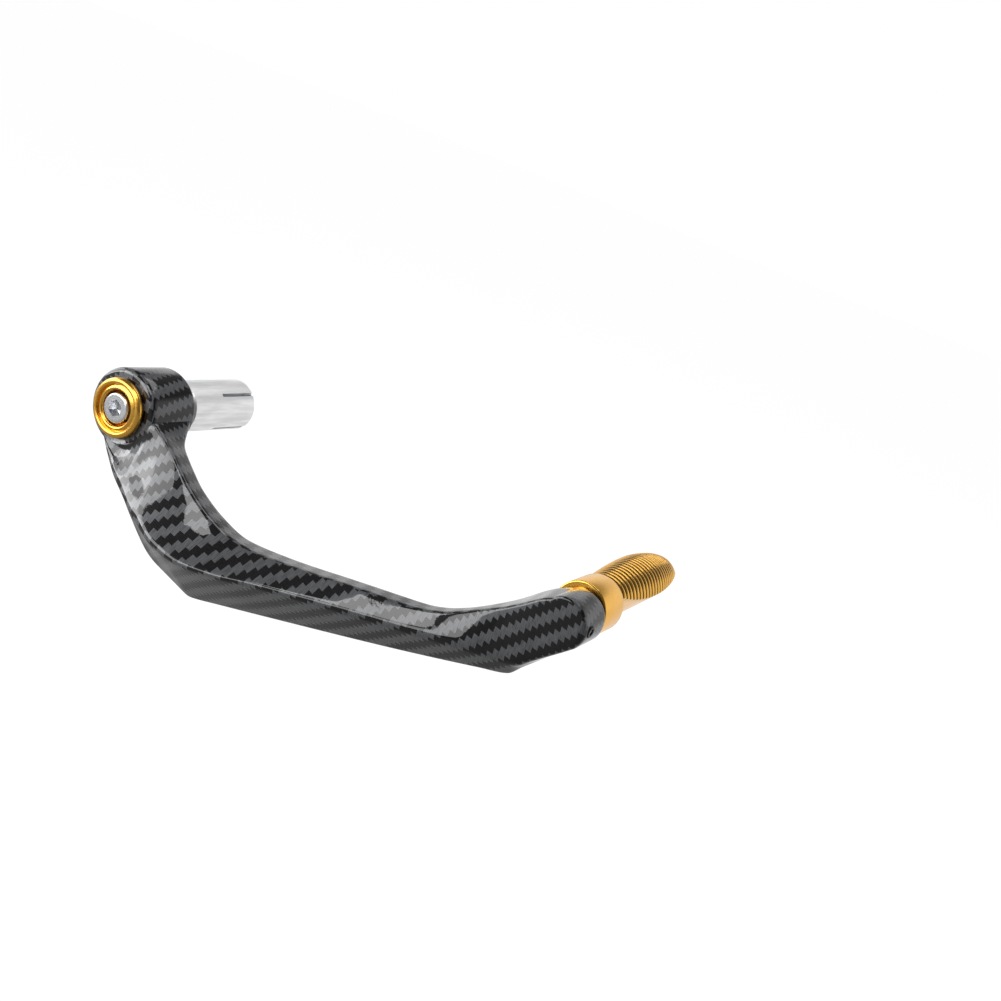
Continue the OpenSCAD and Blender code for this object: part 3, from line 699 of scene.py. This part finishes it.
# Floor, lamps and camera
# A pale floor under the guard, softboxes round it and a lens at the photograph's angle.
# From here on sizes are in metres.
FLOOR_Z, FLOOR_HALF = -0.0505, 6
floor_mesh = bpy.data.meshes.new("floor")
floor_mesh.from_pydata([
    (x * FLOOR_HALF, y * FLOOR_HALF, FLOOR_Z) for x, y in ((-1, -1), (1, -1), (1, 1), (-1, 1))
], [], [(0, 1, 2, 3)])
floor = bpy.data.objects.new("floor", floor_mesh)
bpy.context.scene.collection.objects.link(floor)
# The floor glows by GLOW_SHARE, so that it is white to the lens and keeps the guard's shadow. In
# a reflection its glow fades from white behind the guard to DIM under it and in front, a painted shade of the
# guard.
GLOW_SHARE, GLOW, DIM = 0.85, 1.125, 0.25
DIM_TO, WHITE_FROM = -0.02, 0.06
pale, surface, put = new_material("pale_floor")
set_inputs(surface, {"Base Color": (0.9, 0.9, 0.9, 1), "Roughness": 0.9})
rays = put("LightPath").outputs
direct = maths(put, "MAXIMUM", rays["Is Camera Ray"], rays["Is Transmission Ray"])
seen = maths(put, "MAXIMUM", direct, rays["Is Glossy Ray"])
back = put("SeparateXYZ", {0: in_space(put)}).outputs[1]
# Painted shade: the glow that reflections see is dimmed under the guard and in front of it.
shade = ranged(put, back, DIM_TO, WHITE_FROM, DIM, 1.0, "SMOOTHSTEP")
strength = maths(put, "MAXIMUM", maths(put, "MULTIPLY", direct, GLOW), shade)
glow = put("Emission", {"Color": (1, 1, 1, 1), "Strength": strength})
glowing = maths(put, "MULTIPLY", seen, GLOW_SHARE)
mix = put("MixShader", {0: glowing, 1: surface.outputs[0], 2: glow.outputs[0]})
set_inputs(pale.node_tree.nodes["Material Output"], {"Surface": mix.outputs[0]})
floor.data.materials.append(pale)

# The backdrop is white where the lens sees it, and low behind the guard for all other rays.
# The rest of the room is dim. Each pair gives the directions, of 1 at most, between which the
# room passes into the white: back along Y, and down along Z.
ROOM, WHITE_BEHIND, WHITE_BELOW = 0.11, (-0.1, 0.1), (0.60, 0.42)
world = bpy.data.worlds.new("studio")
bpy.context.scene.world = world
world.use_nodes = True
put = partial(add_node, world.node_tree)
way = put("SeparateXYZ", {0: put("TexCoord").outputs["Generated"]}).outputs
behind = ranged(put, way[1], *WHITE_BEHIND, 0.0, 1.0, "SMOOTHSTEP")
low = ranged(put, way[2], *WHITE_BELOW, 0.0, 1.0, "SMOOTHSTEP")
room = ranged(put, maths(put, "MULTIPLY", behind, low), 0.0, 1.0, ROOM, 1.0)
rays = put("LightPath").outputs
direct = maths(put, "MAXIMUM", rays["Is Camera Ray"], rays["Is Transmission Ray"])
set_inputs(world.node_tree.nodes["Background"], {
    "Color": (1, 1, 1, 1),
    "Strength": maths(put, "MAXIMUM", room, direct),
})


def placed(name, data, x, y, z, place):
    """An object at a place, whose own axes lie along x, y and z."""
    holder = bpy.data.objects.new(name, data)
    holder.matrix_world = Matrix([(x[k], y[k], z[k], place[k]) for k in range(3)] + [(0, 0, 0, 1)])
    bpy.context.scene.collection.objects.link(holder)
    return holder


def softbox(name, place, away, across, size, watts):
    """A rectangular lamp that the lens doesn't see. It shines against the direction away, and the
    first of its two sizes runs along the direction across."""
    lamp = bpy.data.lights.new(name, "AREA")
    lamp.shape, lamp.energy = "RECTANGLE", watts
    lamp.size, lamp.size_y = size
    z = Vector(away).normalized()
    y = z.cross(Vector(across)).normalized()
    placed(name, lamp, y.cross(z), y, z, place).visible_camera = False


# The front and side lamps show together as the bright zone of the broad face. The near one is
# small and close above the blade, and the back one is high up behind it.
softbox(
    "front", place=(-0.304, -0.407, 0.069), away=(-0.515, -0.793, 0.326), across=(0.790, -0.312, 0.528),
    size=(0.76, 0.27), watts=3.1,
)
softbox(
    "side", place=(-0.404, -0.138, 0.087), away=(-0.937, -0.251, 0.242), across=(-0.259, 0.966, 0),
    size=(0.42, 0.24), watts=1.0,
)
softbox(
    "near", place=(0.042, -0.09, 0.106), away=(-0.073, -0.07, 0.126), across=(0.8, -0.6, 0),
    size=(0.07, 0.05), watts=0.068,
)
softbox("back", place=(0.08, 0.28, 0.53), away=(0, 0.28, 0.53), across=(1, 0, 0), size=(0.5, 0.2), watts=0.9)

# The lens: its focal length and the centre of its view in pixels of the photograph's frame, its
# place, and the directions to its right, down and ahead.
FRAME, FOCAL, CENTRE_U, CENTRE_V = 1001, 1080.7, 761.6, 445.4
SENSOR = 36
EYE = (0.28069, -0.28970, 0.12685)
right = Vector((0.87911, 0.31345, 0.35905))
down = Vector((0.39665, -0.06344, -0.91578))
ahead = Vector((-0.26427, 0.94748, -0.18010))
lens = bpy.data.cameras.new("camera")
lens.sensor_width = SENSOR
lens.lens = SENSOR * FOCAL / FRAME
lens.shift_x = (FRAME / 2 - CENTRE_U) / FRAME
lens.shift_y = (CENTRE_V - FRAME / 2) / FRAME
lens.clip_start = 0.01
bpy.context.scene.camera = placed("camera", lens, right, -down, -ahead, EYE)
bpy.context.scene.view_settings.view_transform = "Standard"
